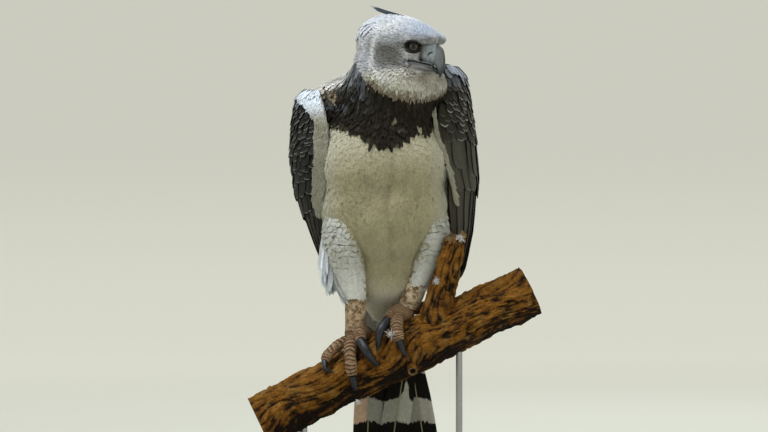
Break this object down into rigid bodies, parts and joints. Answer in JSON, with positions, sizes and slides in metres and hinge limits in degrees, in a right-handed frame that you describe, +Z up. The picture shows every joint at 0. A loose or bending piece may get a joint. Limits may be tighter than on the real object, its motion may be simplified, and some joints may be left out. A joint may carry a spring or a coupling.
{
  "type": "mounted harpy eagle",
  "caption": "Life-size harpy eagle perched on a cut length of sloping branch, head turned to its left, on a plain base with two rods.",
  "frame": {"origin": "on the stand base's flat underside, below the middle of the bird's body", "axes": "+Z up; the bird faces -Y; its own left, to which the head is turned, is +X"},
  "size_m": [0.5869, 0.36, 0.9796],
  "materials": {
    "white_feather": "matte",
    "grey_feather": "matte",
    "slate_feather": "satin",
    "leg_skin": "matte",
    "horn": "gloss",
    "bill_horn": "satin",
    "eye": "gloss",
    "bark": "matte",
    "base_wood": "satin",
    "steel": "brushed"
  },
  "bodies": {
    "root": {"bill_lower": "bill_horn", "bill_upper": "bill_horn", "claw_left_hind": "horn", "claw_left_inner": "horn", "claw_left_middle": "horn", "claw_left_outer": "horn", "claw_right_hind": "horn", "claw_right_inner": "horn", "claw_right_middle": "horn", "claw_right_outer": "horn", "eye_left": "eye", "eye_right": "eye", "foot_left": "leg_skin", "foot_right": "leg_skin", "head": "grey_feather", "neck": "slate_feather", "perch_branch": "bark", "perch_stub": "bark", "stand_base": "base_wood", "stand_rod_left": "steel", "stand_rod_right": "steel", "tail": "slate_feather", "tarsus_left": "leg_skin", "tarsus_right": "leg_skin", "thigh_left": "white_feather", "thigh_right": "white_feather", "torso": "white_feather", "wing_left": "slate_feather", "wing_right": "slate_feather"}
  },
  "joints": []
}
